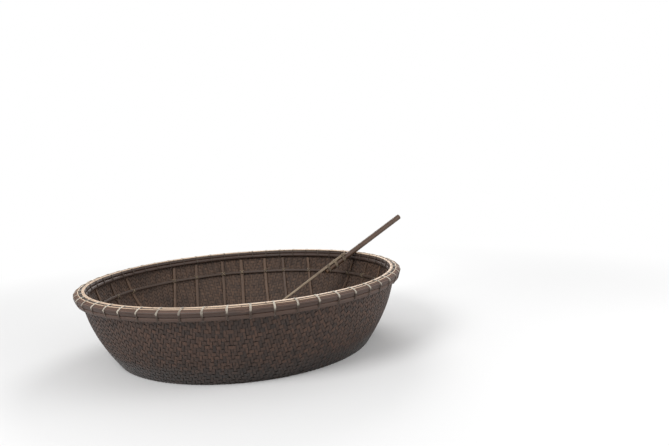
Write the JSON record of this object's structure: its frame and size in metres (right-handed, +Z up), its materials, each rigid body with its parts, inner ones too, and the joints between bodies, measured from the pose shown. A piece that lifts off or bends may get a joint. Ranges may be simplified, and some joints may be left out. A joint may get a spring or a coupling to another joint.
{
  "type": "round woven bamboo basket boat",
  "caption": "Round coracle of woven bamboo with a lashed split-bamboo rim, crossed inner ribs and a sculling oar laid over the rim.",
  "frame": {"origin": "on the hull's axis, on the flat underside that it stands on", "axes": "+Z up along the hull's axis; +X is towards the side of the rim that the oar leans over, with the oar 18 degrees round from it towards +Y"},
  "size_m": [2.6758, 2.4266, 0.9427],
  "materials": {
    "woven_bamboo": "twilled split bamboo, sealed and darkened by pitch, satin",
    "rim_bamboo": "split bamboo, weathered brown, worn paler along its edges",
    "rib_bamboo": "split bamboo, dry and pale",
    "cord": "pale twisted fishing cord, matte",
    "pole_bamboo": "round pole, dark and worn smooth",
    "blade_wood": "bare sawn plank, dry"
  },
  "bodies": {
    "root": {"woven_mat": "woven_bamboo", "rim_outer_hoop_1": "rim_bamboo", "rim_outer_hoop_2": "rim_bamboo", "rim_inner_hoop_1": "rim_bamboo", "rim_cap_strip_1": "rim_bamboo", "rib_across_1": "rib_bamboo", "rib_across_2": "rib_bamboo", "rib_across_3": "rib_bamboo", "rib_across_4": "rib_bamboo", "rib_across_5": "rib_bamboo", "rib_across_6": "rib_bamboo", "rib_across_7": "rib_bamboo", "rib_along_1": "rib_bamboo", "rib_along_2": "rib_bamboo", "rib_along_3": "rib_bamboo", "rib_along_4": "rib_bamboo", "rib_along_5": "rib_bamboo", "rib_along_6": "rib_bamboo", "rib_along_7": "rib_bamboo", "wall_hoop": "rib_bamboo", "rim_lashings": "cord", "oar_lashings": "cord", "oar_pole": "pole_bamboo", "oar_blade": "blade_wood"}
  },
  "joints": []
}
